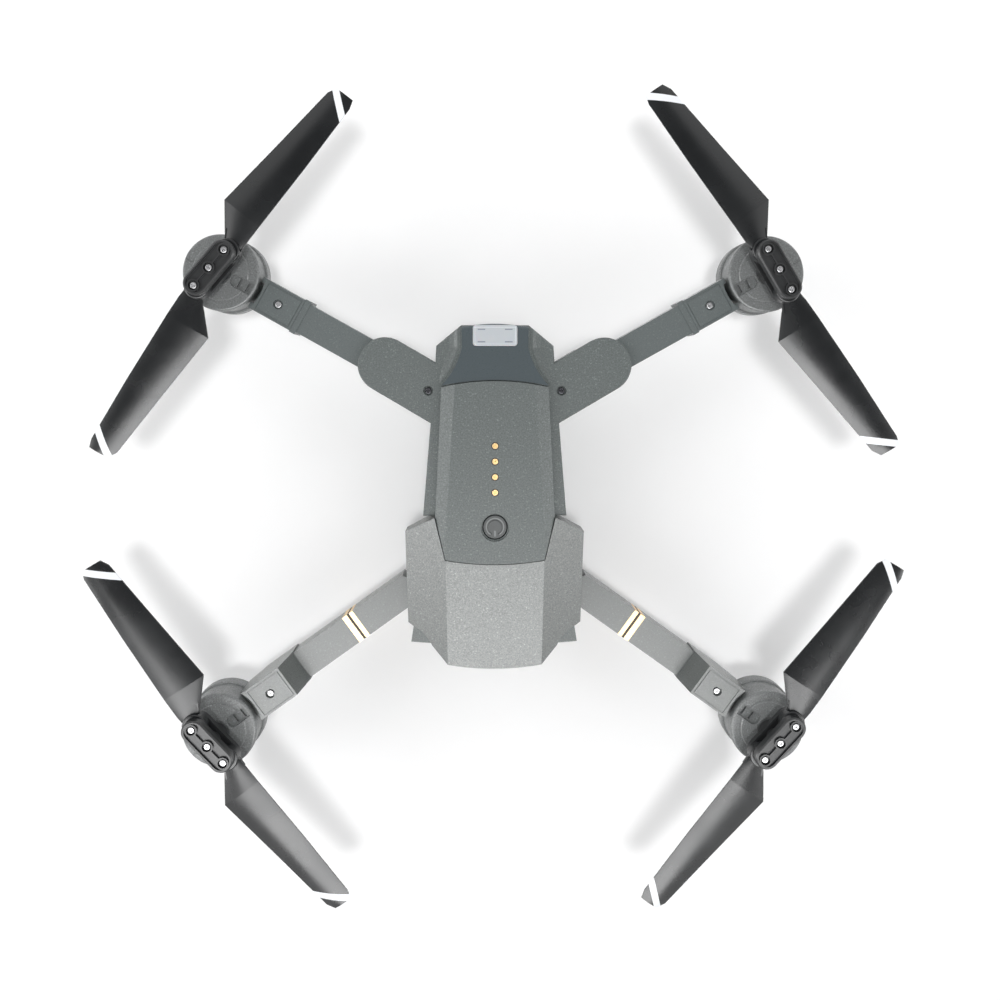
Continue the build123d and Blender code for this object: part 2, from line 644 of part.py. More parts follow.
def pod_end_cut(shaft, direction, low, ring_z):
    """Solid to cut from an arm's end: close to the pod's wall below, stepped back round the cap."""
    with BuildPart() as cut:
        with BuildSketch(level(shaft, direction, ring_z - 1.0)):
            Circle(RING_R)
        extrude(amount=RING_H + 1.0)
        with BuildSketch(level(shaft, direction, ring_z)):
            Circle(POD_R)
        extrude(amount=POD_H - 1.0)
        with BuildSketch(level(shaft, direction, ring_z + POD_H - 1.0)):
            Circle(CAP_R + CAP_CLEARANCE)
        extrude(amount=10.0)
        with BuildSketch(level(shaft, direction, low - 2.0)):
            Rectangle(2 * POD_R, 120.0)
            with Locations((60.0, 0)):
                Rectangle(120.0, 120.0)
        extrude(amount=40.0)
    return cut.part


def block_line(top, start):
    """Solid to cut away for the fine line that frames a block's top."""
    with BuildPart() as line:
        with BuildSketch(top):
            with Locations((start + BLOCK_LEN / 2, 0)):
                Rectangle(BLOCK_LEN - 2 * LINE_INSET, BLOCK_W - 2 * LINE_INSET)
                Rectangle(BLOCK_LEN - 2 * LINE_INSET - 2 * LINE_W, BLOCK_W - 2 * LINE_INSET - 2 * LINE_W,
                          mode=Mode.SUBTRACT)
        extrude(amount=-LINE_DEPTH)
    return line.part


def front_arm(corner):
    """Straight hollow arm: pivot barrel, beam, sleeve and the raised block against the pod."""
    root, shaft, direction, length = arm_frame(corner)
    low, high = FRONT_ARM_Z
    block_end = length - CAP_R - CAP_CLEARANCE
    block_start = block_end - BLOCK_LEN
    with BuildPart() as arm:
        with BuildSketch(level(root, direction, low)):
            Circle(BARREL_R)
        extrude(amount=high - low)
        with BuildSketch(level(root, direction, low)):
            with Locations((length / 2, 0)):
                Rectangle(length, ARM_W)
        extrude(amount=high - low)
        with BuildSketch(level(root, direction, low - 0.4)):
            with Locations((block_start + length / 2, 0)):
                Rectangle(length, BLOCK_W)
        extrude(amount=high - low + 0.4 + BLOCK_RISE)
        with BuildSketch(level(root, direction, low - 0.8)):
            with Locations((block_start - SLEEVE_LEN / 2, 0)):
                Rectangle(SLEEVE_LEN, SLEEVE_W)
        extrude(amount=high - low + 1.1)
        add(pod_end_cut(shaft, direction, low, FRONT_RING_Z), mode=Mode.SUBTRACT)
        # wire duct along the arm, pivot bore and screw seat
        with BuildSketch(level(root, direction, low + WALL)):
            with Locations(((BARREL_R + length) / 2, 0)):
                Rectangle(length - BARREL_R, ARM_W - 2 * WALL)
        extrude(amount=high - low - 2 * WALL - 1.4, mode=Mode.SUBTRACT)
        with BuildSketch(level(root, direction, low)):
            Circle(PIVOT_PIN_R + RUN)
        extrude(amount=high - low, mode=Mode.SUBTRACT)
        block_top = level(root, direction, high + BLOCK_RISE)
        add(screw_seat(block_top, block_start + SCREW_ALONG), mode=Mode.SUBTRACT)
        add(block_line(block_top, block_start), mode=Mode.SUBTRACT)
    return arm


def rear_arm(corner):
    """Low arm on a slanted hinge knuckle, with a tall block that steps up to the pod."""
    side = corner["side"]
    root, shaft, direction, length = arm_frame(corner)
    low, high = REAR_ARM_Z
    block_top = REAR_BLOCK_TOP_Z
    block_start = length - CAP_R - CAP_CLEARANCE - BLOCK_LEN
    hinge = hinge_frame(side, 0)
    axis = hinge.z_dir
    outward = (side * axis.Y, -side * axis.X, 0)
    upright = Plane(origin=(root[0], root[1], 0), x_dir=(direction[0], direction[1], 0),
                    z_dir=(direction[1], -direction[0], 0))
    with BuildPart() as arm:
        with BuildSketch(level(root, direction, low)):
            with Locations((block_start / 2 - 6.0, 0)):
                Rectangle(block_start + 12.0, ARM_W)
        extrude(amount=high - low)
        split(bisect_by=Plane(origin=(root[0], root[1], 0), z_dir=outward), keep=Keep.TOP)
        split(bisect_by=hinge_frame(side, KNUCKLE[0] - 0.1), keep=Keep.TOP)
        # tall block with a slanted end face, drawn from the side
        with BuildSketch(upright):
            Polygon((block_start - 3.4, low - 0.4), (block_start - 3.4, high + 0.4), (block_start, block_top),
                    (length, block_top), (length, REAR_RING_Z + 0.5), (length - CAP_R, REAR_RING_Z + 0.5),
                    (length - CAP_R - 7.0, low - 0.4), align=None)
        extrude(amount=BLOCK_W / 2, both=True)
        add(pod_end_cut(shaft, direction, low, REAR_RING_Z), mode=Mode.SUBTRACT)
        # knuckle and its web down to the hinge pin
        with BuildSketch(hinge_frame(side, KNUCKLE[0])):
            Circle(KNUCKLE_R)
            with Locations((2.0, side * 1.5)):
                Rectangle(4.0, 3.0)
        extrude(amount=KNUCKLE[1] - KNUCKLE[0])
        with BuildSketch(hinge_frame(side, KNUCKLE[0])):
            Circle(HINGE_PIN_R + RUN)
        extrude(amount=KNUCKLE[1] - KNUCKLE[0], mode=Mode.SUBTRACT)
        # wire duct along the arm
        with BuildSketch(level(root, direction, low + WALL)):
            with Locations(((12.0 + length) / 2, 0)):
                Rectangle(length - 12.0, ARM_W - 2 * WALL)
        extrude(amount=high - low - 2 * WALL, mode=Mode.SUBTRACT)
        add(screw_seat(level(root, direction, block_top), block_start + SCREW_ALONG), mode=Mode.SUBTRACT)
        add(block_line(level(root, direction, block_top), block_start), mode=Mode.SUBTRACT)
    return arm


# ---------------------------------------------------------------- pods
def pod_shell(corner):
    """Round two-tier pod with its bearing, the motor's tube and the landing leg."""
    _, shaft, direction, _ = arm_frame(corner)
    ring_z = FRONT_RING_Z if corner["front"] else REAR_RING_Z
    motor = (GEAR_CENTRES, 0)
    with BuildPart() as pod:
        with BuildSketch(level(shaft, direction, ring_z)):
            Circle(RING_R)
        extrude(amount=RING_H)
        chamfer(pod.edges().group_by(Axis.Z)[0], length=1.2)
        chamfer(pod.edges().group_by(Axis.Z)[-1], length=0.5)
        with BuildSketch(level(shaft, direction, ring_z + 1.5)):
            Circle(POD_R)
        extrude(amount=POD_H - 1.5)
        with BuildSketch(level(shaft, direction, ring_z + WALL)):
            Circle(POD_R - POD_WALL)
        extrude(amount=POD_H, mode=Mode.SUBTRACT)
        # motor tube, then the leg under it down to a flat foot
        with BuildSketch(level(shaft, direction, ring_z - MOTOR_DROP - 1.0)):
            with Locations(motor):
                Circle(MOTOR_R + 1.1)
        extrude(amount=MOTOR_DROP + 5.0)
        with BuildSketch(level(shaft, direction, ring_z - MOTOR_DROP - 1.0)):
            with Locations(motor):
                Circle(MOTOR_R + 1.1)
        with BuildSketch(level(shaft, direction, 3.0)):
            with Locations(motor):
                Circle(2.4)
        loft()
        with BuildSketch(level(shaft, direction, 0)):
            with Locations(motor):
                Circle(FOOT_R)
        extrude(amount=3.0)
        fillet(pod.edges().group_by(Axis.Z)[0], radius=0.6)
        with BuildSketch(level(shaft, direction, ring_z - MOTOR_DROP)):
            with Locations(motor):
                Circle(MOTOR_R)
        extrude(amount=POD_H, mode=Mode.SUBTRACT)
        # lower bearing of the prop shaft
        with BuildSketch(level(shaft, direction, ring_z + 0.5)):
            Circle(SHAFT_R + 1.4)
        extrude(amount=6.0)
        with BuildSketch(level(shaft, direction, ring_z + 1.0)):
            Circle(SHAFT_R + RUN)
        extrude(amount=8.0, mode=Mode.SUBTRACT)
    return pod


def pod_cap(corner):
    """Domed cap of a pod: raised disc, vent slot on the arm side, notches and a groove."""
    _, shaft, direction, _ = arm_frame(corner)
    base = (FRONT_RING_Z if corner["front"] else REAR_RING_Z) + POD_H
    top = base + CAP_H
    with BuildPart() as cap:
        with BuildSketch(level(shaft, direction, base)):
            Circle(CAP_R)
        extrude(amount=CAP_H - 0.6)
        fillet(cap.edges().group_by(Axis.Z)[-1], radius=0.8)
        with BuildSketch(level(shaft, direction, base + 1.0)):
            Circle(CAP_DISC_R)
        extrude(amount=CAP_H - 1.0)
        chamfer(cap.edges().group_by(Axis.Z)[-1], length=0.35)
        with BuildSketch(level(shaft, direction, base)):
            Circle(CAP_R - WALL - 0.6)
        extrude(amount=1.0, mode=Mode.SUBTRACT)
        with BuildSketch(level(shaft, direction, base)):
            Circle(SHAFT_R + RUN)
        extrude(amount=CAP_H, mode=Mode.SUBTRACT)
        # vent slot with two deeper slits
        with BuildSketch(level(shaft, direction, top)):
            with Locations((-6.2, 0)):
                Circle(SLOT_W / 2)
            with Locations((-9.1, 0)):
                Rectangle(5.8, SLOT_W)
        extrude(amount=-1.7, mode=Mode.SUBTRACT)
        with BuildSketch(level(shaft, direction, top)):
            with Locations((-7.2, 0), (-10.4, 0)):
                Rectangle(0.9, SLOT_W - 1.4)
        extrude(amount=-2.7, mode=Mode.SUBTRACT)
        with BuildSketch(level(shaft, direction, top)):
            Circle(CAP_COLLAR_R)
            Circle(CAP_COLLAR_R - 0.45, mode=Mode.SUBTRACT)
        extrude(amount=0.35)
        # groove on the outer side and a triangular notch on each flank
        with BuildSketch(level(shaft, direction, top)):
            with Locations((CAP_DISC_R + 2.0, 0)):
                Rectangle(4.2, 3.6)
        extrude(amount=-1.1, mode=Mode.SUBTRACT)
        with BuildSketch(level(shaft, direction, top)):
            with PolarLocations(CAP_R, 2, start_angle=NOTCH_ANGLE, angular_range=360 - 2 * NOTCH_ANGLE, endpoint=True):
                Polygon((0.6, -1.7), (0.6, 1.7), (-2.4, 0.0), align=None)
        extrude(amount=-2.6, mode=Mode.SUBTRACT)
    return cap


def motor_can(corner):
    """Coreless motor: a steel can with a bearing in its top."""
    _, shaft, direction, _ = arm_frame(corner)
    ring_z = FRONT_RING_Z if corner["front"] else REAR_RING_Z
    with BuildPart() as can:
        with BuildSketch(level(shaft, direction, ring_z - MOTOR_DROP)):
            with Locations((GEAR_CENTRES, 0)):
                Circle(MOTOR_R)
        extrude(amount=MOTOR_LEN)
        chamfer(can.edges().group_by(Axis.Z)[-1], length=0.3)
        with BuildSketch(level(shaft, direction, ring_z - MOTOR_DROP + MOTOR_LEN)):
            with Locations((GEAR_CENTRES, 0)):
                Circle(0.5 + RUN)
        extrude(amount=-6.0, mode=Mode.SUBTRACT)
    return can


def block_screw(corner):
    """Screw in the top of an arm's block."""
    root, _, direction, length = arm_frame(corner)
    top = FRONT_ARM_Z[1] + BLOCK_RISE if corner["front"] else REAR_BLOCK_TOP_Z
    along = length - CAP_R - CAP_CLEARANCE - BLOCK_LEN + SCREW_ALONG
    seat = level((root[0] + direction[0] * along, root[1] + direction[1] * along), direction, top - SEAT_DEPTH)
    with BuildPart() as screw:
        add(cross_screw(seat, 1.1, 0.9, 0.8, 3.6))
    return screw


# ---------------------------------------------------------------- gears and propellers
def spur_teeth(teeth, start):
    """Slim straight-sided teeth on a disc, in the sketch that is open."""
    pitch_r = MODULE * teeth / 2
    root_r = pitch_r - 1.25 * MODULE
    tip_r = pitch_r + 0.8 * MODULE
    foot = 0.24
    tip = 0.10
    Circle(root_r)
    with PolarLocations(0, teeth, start_angle=start):
        Polygon((root_r - 0.1, -foot), (tip_r, -tip), (tip_r, tip), (root_r - 0.1, foot), align=None)


def pinion(corner):
    """Motor pinion on its steel shaft."""
    _, shaft, direction, _ = arm_frame(corner)
    ring_z = FRONT_RING_Z if corner["front"] else REAR_RING_Z
    motor = (shaft[0] + direction[0] * GEAR_CENTRES, shaft[1] + direction[1] * GEAR_CENTRES)
    with BuildPart() as gear:
        with BuildSketch(level(motor, direction, ring_z + GEAR_Z - 0.3)):
            spur_teeth(PINION_TEETH, 180.0)
        extrude(amount=GEAR_T + 0.6)
        with BuildSketch(level(motor, direction, ring_z - MOTOR_DROP + MOTOR_LEN - 5.5)):
            Circle(0.5)
        extrude(amount=6.0 + GEAR_T)
    return gear


def prop_shaft(corner):
    """Main gear, shaft, hub floor and the two blade pivots, moulded as one."""
    _, shaft, direction, _ = arm_frame(corner)
    ring_z = FRONT_RING_Z if corner["front"] else REAR_RING_Z
    hub = (cos(radians(corner["hub"])), sin(radians(corner["hub"])))
    with BuildPart() as spindle:
        with BuildSketch(level(shaft, direction, ring_z + GEAR_Z)):
            spur_teeth(GEAR_TEETH, 180.0 / GEAR_TEETH)
        extrude(amount=GEAR_T)
        with BuildSketch(level(shaft, hub, ring_z + 1.8)):
            Circle(SHAFT_R)
        extrude(amount=HUB_PLATE_Z)
        with BuildSketch(level(shaft, hub, ring_z + HUB_COLLAR_Z)):
            Circle(3.4)
        extrude(amount=HUB_PLATE_Z - HUB_COLLAR_Z)
        with BuildSketch(level(shaft, hub, ring_z + HUB_PLATE_Z)):
            SlotOverall(HUB_LEN + 1.0, HUB_W)
        extrude(amount=BLADE_Z - HUB_PLATE_Z - 0.15)
        with BuildSketch(level(shaft, hub, ring_z + BLADE_Z - 0.15)):
            Circle(2.8)
            with Locations((-PIVOT_OFFSET, 0), (PIVOT_OFFSET, 0)):
                Circle(BLADE_PIVOT_R)
        extrude(amount=TOP_PLATE_Z - BLADE_Z + 0.15)
        with BuildSketch(level(shaft, hub, ring_z + TOP_PLATE_Z)):
            with Locations((-PIVOT_OFFSET, 0), (0, 0), (PIVOT_OFFSET, 0)):
                Circle(0.75)
        extrude(amount=-4.5, mode=Mode.SUBTRACT)
    return spindle


def hub_plate(corner):
    """Top clamp of a propeller: rim, sunk panel, three ringed screw seats joined by a rib."""
    _, shaft, _, _ = arm_frame(corner)
    ring_z = FRONT_RING_Z if corner["front"] else REAR_RING_Z
    hub = (cos(radians(corner["hub"])), sin(radians(corner["hub"])))
    bottom = ring_z + TOP_PLATE_Z
    top = bottom + TOP_PLATE_T
    seats = [(-PIVOT_OFFSET, 0), (0, 0), (PIVOT_OFFSET, 0)]
    with BuildPart() as plate:
        with BuildSketch(level(shaft, hub, bottom)):
            SlotOverall(HUB_LEN, HUB_W)
        extrude(amount=TOP_PLATE_T)
        chamfer(plate.edges().group_by(Axis.Z)[-1], length=0.5)
        with BuildSketch(level(shaft, hub, top)):
            SlotOverall(HUB_LEN - 2.0, HUB_W - 2.0)
            with Locations(*seats):
                Circle(2.1, mode=Mode.SUBTRACT)
            Rectangle(2 * PIVOT_OFFSET, 0.5, mode=Mode.SUBTRACT)
        extrude(amount=-0.8, mode=Mode.SUBTRACT)
        with BuildSketch(level(shaft, hub, top)):
            with Locations(*seats):
                Circle(1.6)
        extrude(amount=-1.3, mode=Mode.SUBTRACT)
        with BuildSketch(level(shaft, hub, top)):
            with Locations(*seats):
                Circle(0.8)
        extrude(amount=-TOP_PLATE_T, mode=Mode.SUBTRACT)
    return plate


def hub_screws(corner):
    """Three cross-head screws of a hub."""
    _, shaft, _, _ = arm_frame(corner)
    ring_z = FRONT_RING_Z if corner["front"] else REAR_RING_Z
    hub = (cos(radians(corner["hub"])), sin(radians(corner["hub"])))
    with BuildPart() as screws:
        for offset in (-PIVOT_OFFSET, 0.0, PIVOT_OFFSET):
            centre = (shaft[0] + hub[0] * offset, shaft[1] + hub[1] * offset)
            add(cross_screw(level(centre, hub, ring_z + TOP_PLATE_Z + TOP_PLATE_T - 1.3), 1.1, 0.9, 0.7, 5.0))
    return screws


# blade sections: distance from the pivot, straight edge, bulging edge, height of each edge's middle
BLADE_SECTIONS = [
    (3.2, -3.2, 3.5, 0.3, -0.3),
    (6.0, -3.5, 5.8, 0.5, -0.6),
    (13.0, -3.7, 11.3, 0.9, -1.2),
    (38.0, -4.2, 8.0, 0.9, -0.8),
    (61.8, -4.2, 5.0, 0.8, -0.3),
    (64.6, -3.4, 3.4, 0.8, -0.1),
]
EDGE_T = 0.5
CAMBER = 0.055


def blade(corner, end):
    """One folding blade: round root with its bore, and a cambered, twisted, tapering foil."""
    _, shaft, _, _ = arm_frame(corner)
    ring_z = FRONT_RING_Z if corner["front"] else REAR_RING_Z
    hand = corner["hand"]
    hub_x = cos(radians(corner["hub"])) * end
    hub_y = sin(radians(corner["hub"])) * end
    pivot = (shaft[0] + hub_x * PIVOT_OFFSET, shaft[1] + hub_y * PIVOT_OFFSET)
    turned = radians(corner["blade_a"] if end > 0 else corner["blade_b"])
    along = (cos(turned) * end, sin(turned) * end)
    across = (-along[1] * hand, along[0] * hand)
    middle = ring_z + BLADE_Z + BLADE_T / 2
    with BuildPart() as foil:
        for distance, straight, bulge, straight_z, bulge_z in BLADE_SECTIONS:
            origin = (pivot[0] + along[0] * distance, pivot[1] + along[1] * distance, middle)
            section = Plane(origin=origin, x_dir=(across[0], across[1], 0),
                            z_dir=(along[0] * hand, along[1] * hand, 0))
            rise = CAMBER * (bulge - straight)
            half = EDGE_T / 2
            centre = (straight + bulge) / 2
            centre_z = (straight_z + bulge_z) / 2
            with BuildSketch(section):
                with BuildLine():
                    ThreePointArc((straight, straight_z + half), (centre, centre_z + half + 0.25 + rise),
                                  (bulge, bulge_z + half))
                    Line((bulge, bulge_z + half), (bulge, bulge_z - half))
                    ThreePointArc((bulge, bulge_z - half), (centre, centre_z - half - 0.25 + rise / 2),
                                  (straight, straight_z - half))
                    Line((straight, straight_z - half), (straight, straight_z + half))
                make_face()
        loft(ruled=True)
        root = Plane(origin=(pivot[0], pivot[1], ring_z + BLADE_Z), x_dir=(along[0], along[1], 0), z_dir=(0, 0, 1))
        with BuildSketch(root):
            Circle(ROOT_R)
        extrude(amount=BLADE_T)
        fillet(foil.edges().filter_by(GeomType.CIRCLE).group_by(Axis.Z)[-1], radius=0.6)
        # shoulder that carries the root into the foil
        with BuildSketch(root.offset(0.9)):
            Polygon((0, -3.6 * hand), (6.0, -3.2 * hand), (6.0, 5.0 * hand), (3.0, 3.4 * hand), (0, 3.6 * hand),
                    align=None)
        extrude(amount=1.1)
        with BuildSketch(root):
            Circle(BLADE_PIVOT_R + RUN)
        extrude(amount=BLADE_T, mode=Mode.SUBTRACT)
    return foil


for corner_name, corner in CORNERS.items():
    arm = front_arm(corner) if corner["front"] else rear_arm(corner)
    save(arm, corner_name + "_arm")
    save(pod_shell(corner), corner_name + "_pod")
    save(pod_cap(corner), corner_name + "_pod_cap")
    save(motor_can(corner), corner_name + "_motor")
    save(block_screw(corner), corner_name + "_block_screw")
    save(pinion(corner), corner_name + "_pinion")
    save(prop_shaft(corner), corner_name + "_prop_shaft")
    save(hub_plate(corner), corner_name + "_hub_plate")
    save(hub_screws(corner), corner_name + "_hub_screws")
    save(blade(corner, 1), corner_name + "_blade_a")
    save(blade(corner, -1), corner_name + "_blade_b")
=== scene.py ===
import json
import math

import bmesh
import bpy
from mathutils import Matrix, Vector

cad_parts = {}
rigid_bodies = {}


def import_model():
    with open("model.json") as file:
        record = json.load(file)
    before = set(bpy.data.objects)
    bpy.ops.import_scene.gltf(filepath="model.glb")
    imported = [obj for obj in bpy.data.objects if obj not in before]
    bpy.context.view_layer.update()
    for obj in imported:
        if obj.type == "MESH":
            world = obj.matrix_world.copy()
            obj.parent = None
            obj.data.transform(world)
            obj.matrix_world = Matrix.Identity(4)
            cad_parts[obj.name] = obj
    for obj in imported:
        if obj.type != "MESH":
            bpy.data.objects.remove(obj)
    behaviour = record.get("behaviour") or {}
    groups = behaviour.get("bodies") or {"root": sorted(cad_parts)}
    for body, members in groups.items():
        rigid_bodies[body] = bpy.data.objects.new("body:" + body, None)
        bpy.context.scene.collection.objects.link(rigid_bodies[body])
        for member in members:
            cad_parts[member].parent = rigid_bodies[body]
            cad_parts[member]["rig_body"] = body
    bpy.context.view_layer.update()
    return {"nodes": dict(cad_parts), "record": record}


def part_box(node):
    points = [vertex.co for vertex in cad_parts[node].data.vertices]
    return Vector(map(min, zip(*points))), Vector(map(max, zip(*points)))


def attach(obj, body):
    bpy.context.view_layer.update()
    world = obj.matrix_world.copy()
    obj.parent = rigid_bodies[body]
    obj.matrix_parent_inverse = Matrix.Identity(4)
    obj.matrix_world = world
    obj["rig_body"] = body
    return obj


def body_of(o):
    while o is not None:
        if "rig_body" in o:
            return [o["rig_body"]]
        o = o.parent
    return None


# Folding quadcopter seen from above on a white table. Metres, +Y towards the nose.
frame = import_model()
MM = 0.001
CORNERS = ("front_left", "front_right", "rear_left", "rear_right")


# ---------------------------------------------------------------- helpers
def middle(node):
    """Centre of a node's box at rest."""
    low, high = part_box(node)
    return (Vector(low) + Vector(high)) / 2


def joint(name):
    """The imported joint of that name."""
    return next(j for j in frame["record"]["behaviour"]["joints"] if j["name"] == name)


def new_object(name, mesh, material, body):
    """A new piece of mesh code that rides on a body."""
    piece = bpy.data.objects.new(name, mesh)
    bpy.context.scene.collection.objects.link(piece)
    piece.data.materials.clear()
    piece.data.materials.append(material)
    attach(piece, body)
    return piece


# ---------------------------------------------------------------- materials
def nodes_of(name):
    """A new material, its tree, its main shader and its object coordinates."""
    material = bpy.data.materials.new(name)
    material.use_nodes = True
    tree = material.node_tree
    shader = tree.nodes["Principled BSDF"]
    place = tree.nodes.new("ShaderNodeTexCoord").outputs["Object"]
    return material, tree, shader, place


def noise(tree, place, scale, detail=2.0, rough=0.6):
    """A noise field over the object."""
    field = tree.nodes.new("ShaderNodeTexNoise")
    field.inputs["Scale"].default_value = scale
    field.inputs["Detail"].default_value = detail
    field.inputs["Roughness"].default_value = rough
    tree.links.new(place, field.inputs["Vector"])
    return field.outputs["Fac"]


def spread(tree, value, low, high, to_low, to_high):
    """A value mapped from one range to another, clamped."""
    mapping = tree.nodes.new("ShaderNodeMapRange")
    for socket, number in zip(("From Min", "From Max", "To Min", "To Max"), (low, high, to_low, to_high)):
        mapping.inputs[socket].default_value = number
    tree.links.new(value, mapping.inputs["Value"])
    return mapping.outputs["Result"]


def mixed(tree, factor, first, second):
    """Colour between first and second. Each is a colour or an output."""
    mix = tree.nodes.new("ShaderNodeMix")
    mix.data_type = "RGBA"
    tree.links.new(factor, mix.inputs["Factor"])
    for socket, colour in ((mix.inputs[6], first), (mix.inputs[7], second)):
        if isinstance(colour, bpy.types.NodeSocket):
            tree.links.new(colour, socket)
        else:
            socket.default_value = (*colour, 1.0)
    return mix.outputs[2]


def bumped(tree, shader, height, strength, depth):
    """Relief of a real depth on the shader."""
    bump = tree.nodes.new("ShaderNodeBump")
    bump.inputs["Strength"].default_value = strength
    bump.inputs["Distance"].default_value = depth
    tree.links.new(height, bump.inputs["Height"])
    tree.links.new(bump.outputs["Normal"], shader.inputs["Normal"])


def times(colour, factor):
    """A colour made brighter or darker."""
    return tuple(min(1.0, c * factor) for c in colour)


def grained(name, colour, grain=0.0005, contrast=0.35, painted_highlight_share=0.5, rough=0.5, relief=0.3, specular=0.5):
    """Moulded plastic with spark-eroded grain of that size, and a fine painted highlight on its peaks: spots of the
    colour brightened to stand in for small glints.
    """
    material, tree, shader, place = nodes_of(name)
    fine = noise(tree, place, 1.0 / grain, 2.0, 0.7)
    broad = noise(tree, place, 25.0, 3.0)
    painted_highlight_noise = noise(tree, place, 0.8 / grain, 1.0)
    base = mixed(tree, spread(tree, fine, 0.3, 0.7, 0.0, 1.0), times(colour, 1 - contrast),
                 times(colour, 1 + contrast))
    tinted = mixed(tree, spread(tree, broad, 0.3, 0.7, 0.0, 0.25), base, times(colour, 1.15))
    # painted highlight: the colour brightened where a fine noise peaks, standing in for glints on the grain
    bright = mixed(tree, spread(tree, painted_highlight_noise, 0.62, 0.75, 0.0, painted_highlight_share), tinted, times(colour, 2.6))
    tree.links.new(bright, shader.inputs["Base Color"])
    tree.links.new(spread(tree, fine, 0.3, 0.7, rough + 0.1, rough - 0.08), shader.inputs["Roughness"])
    shader.inputs["Specular IOR Level"].default_value = specular
    bumped(tree, shader, fine, relief, 0.15 * grain)
    return material


def satin(name, colour, rough=0.4, specular=0.5, variation=0.12):
    """Smooth moulded plastic with faint flow marks and fingerprints."""
    material, tree, shader, place = nodes_of(name)
    broad = noise(tree, place, 40.0, 4.0)
    fine = noise(tree, place, 2500.0, 2.0)
    tree.links.new(mixed(tree, spread(tree, broad, 0.3, 0.7, 0.0, 1.0), times(colour, 1 - variation),
                         times(colour, 1 + variation)), shader.inputs["Base Color"])
    tree.links.new(spread(tree, broad, 0.3, 0.7, rough - 0.05, rough + 0.07), shader.inputs["Roughness"])
    shader.inputs["Specular IOR Level"].default_value = specular
    bumped(tree, shader, fine, 0.15, 0.00003)
    return material


def metal(name, colour, rough=0.25):
    """Plated or brushed metal with fine scratches."""
    material, tree, shader, place = nodes_of(name)
    scratch = noise(tree, place, 3000.0, 3.0)
    tree.links.new(mixed(tree, scratch, times(colour, 0.85), times(colour, 1.1)), shader.inputs["Base Color"])
    tree.links.new(spread(tree, scratch, 0.3, 0.7, rough - 0.08, rough + 0.1), shader.inputs["Roughness"])
    shader.inputs["Metallic"].default_value = 1.0
    bumped(tree, shader, scratch, 0.1, 0.00002)
    return material


def frosted(name, colour):
    """Frosted translucent lamp window."""
    material, tree, shader, place = nodes_of(name)
    cloud = noise(tree, place, 300.0, 2.0)
    tree.links.new(mixed(tree, cloud, times(colour, 0.93), colour), shader.inputs["Base Color"])
    shader.inputs["Roughness"].default_value = 0.35
    shader.inputs["Subsurface Weight"].default_value = 0.2
    shader.inputs["Subsurface Scale"].default_value = 0.001
    return material


def lens(name):
    """Dark coated glass."""
    material, tree, shader, place = nodes_of(name)
    cloud = noise(tree, place, 200.0, 1.0)
    tree.links.new(mixed(tree, cloud, (0.01, 0.012, 0.03), (0.02, 0.03, 0.06)), shader.inputs["Base Color"])
    shader.inputs["Roughness"].default_value = 0.05
    shader.inputs["Coat Weight"].default_value = 1.0
    shader.inputs["Coat Roughness"].default_value = 0.02
    return material


MATERIALS = {
    "shell_plastic": grained("shell_plastic", (0.094, 0.107, 0.105), rough=0.4, relief=0.2, specular=0.4),
    # nose_plastic: its darker colour is painted shade, standing in for the dimmer light on the front of the body
    "nose_plastic": grained("nose_plastic", (0.064, 0.079, 0.086), contrast=0.10, painted_highlight_share=0.08, relief=0.08, rough=0.32, specular=0.3),
    # hood_plastic: its lighter colour is painted sheen, standing in for the brighter highlight on the hood
    "hood_plastic": grained("hood_plastic", (0.115, 0.124, 0.120), rough=0.4, relief=0.2, specular=0.55),
    "arm_plastic": grained("arm_plastic", (0.106, 0.121, 0.121), contrast=0.22, painted_highlight_share=0.25, rough=0.3, relief=0.12, specular=0.5),
    # pod_plastic: its lighter colour is painted highlight, standing in for the bright rims and sides of the pod caps
    "pod_plastic": grained("pod_plastic", (0.15, 0.157, 0.157), rough=0.38, relief=0.25),
    "blade_plastic": satin("blade_plastic", (0.008, 0.009, 0.010), rough=0.27, specular=0.5),
    "hub_plastic": satin("hub_plastic", (0.018, 0.019, 0.020), rough=0.35),
    "button_plastic": satin("button_plastic", (0.045, 0.05, 0.05), rough=0.45),
    "window_plastic": frosted("window_plastic", (0.47, 0.495, 0.52)),
    "camera_plastic": satin("camera_plastic", (0.01, 0.01, 0.011), rough=0.25),
    "lens_glass": lens("lens_glass"),
    "gold_pins": metal("gold_pins", (0.95, 0.66, 0.26), rough=0.3),
    "screw_steel": metal("screw_steel", (0.5, 0.5, 0.51), rough=0.35),
    "pin_steel": metal("pin_steel", (0.6, 0.6, 0.6)),
    "motor_steel": metal("motor_steel", (0.6, 0.6, 0.61)),
    "gear_plastic": satin("gear_plastic", (0.75, 0.74, 0.70)),
    "board_green": satin("board_green", (0.02, 0.12, 0.05), rough=0.3),
    "cell_foil": metal("cell_foil", (0.6, 0.62, 0.65), rough=0.4),
}
white_paint = satin("white_paint", (0.78, 0.80, 0.83), rough=0.45, variation=0.04)
gold_paint = metal("gold_paint", (0.75, 0.52, 0.26), rough=0.35)
# painted shade: a near-black coat laid where a gap or recess would sit in shadow
dark_recess = satin("dark_recess", (0.02, 0.015, 0.012), rough=0.6)
icon_grey = satin("icon_grey", (0.16, 0.17, 0.17), rough=0.4)
mark_grey = satin("mark_grey", (0.18, 0.20, 0.24), rough=0.5)

rear_arm = grained("rear_arm_plastic", (0.112, 0.120, 0.117), contrast=0.22, painted_highlight_share=0.25, rough=0.32, relief=0.15,
                   specular=0.6)
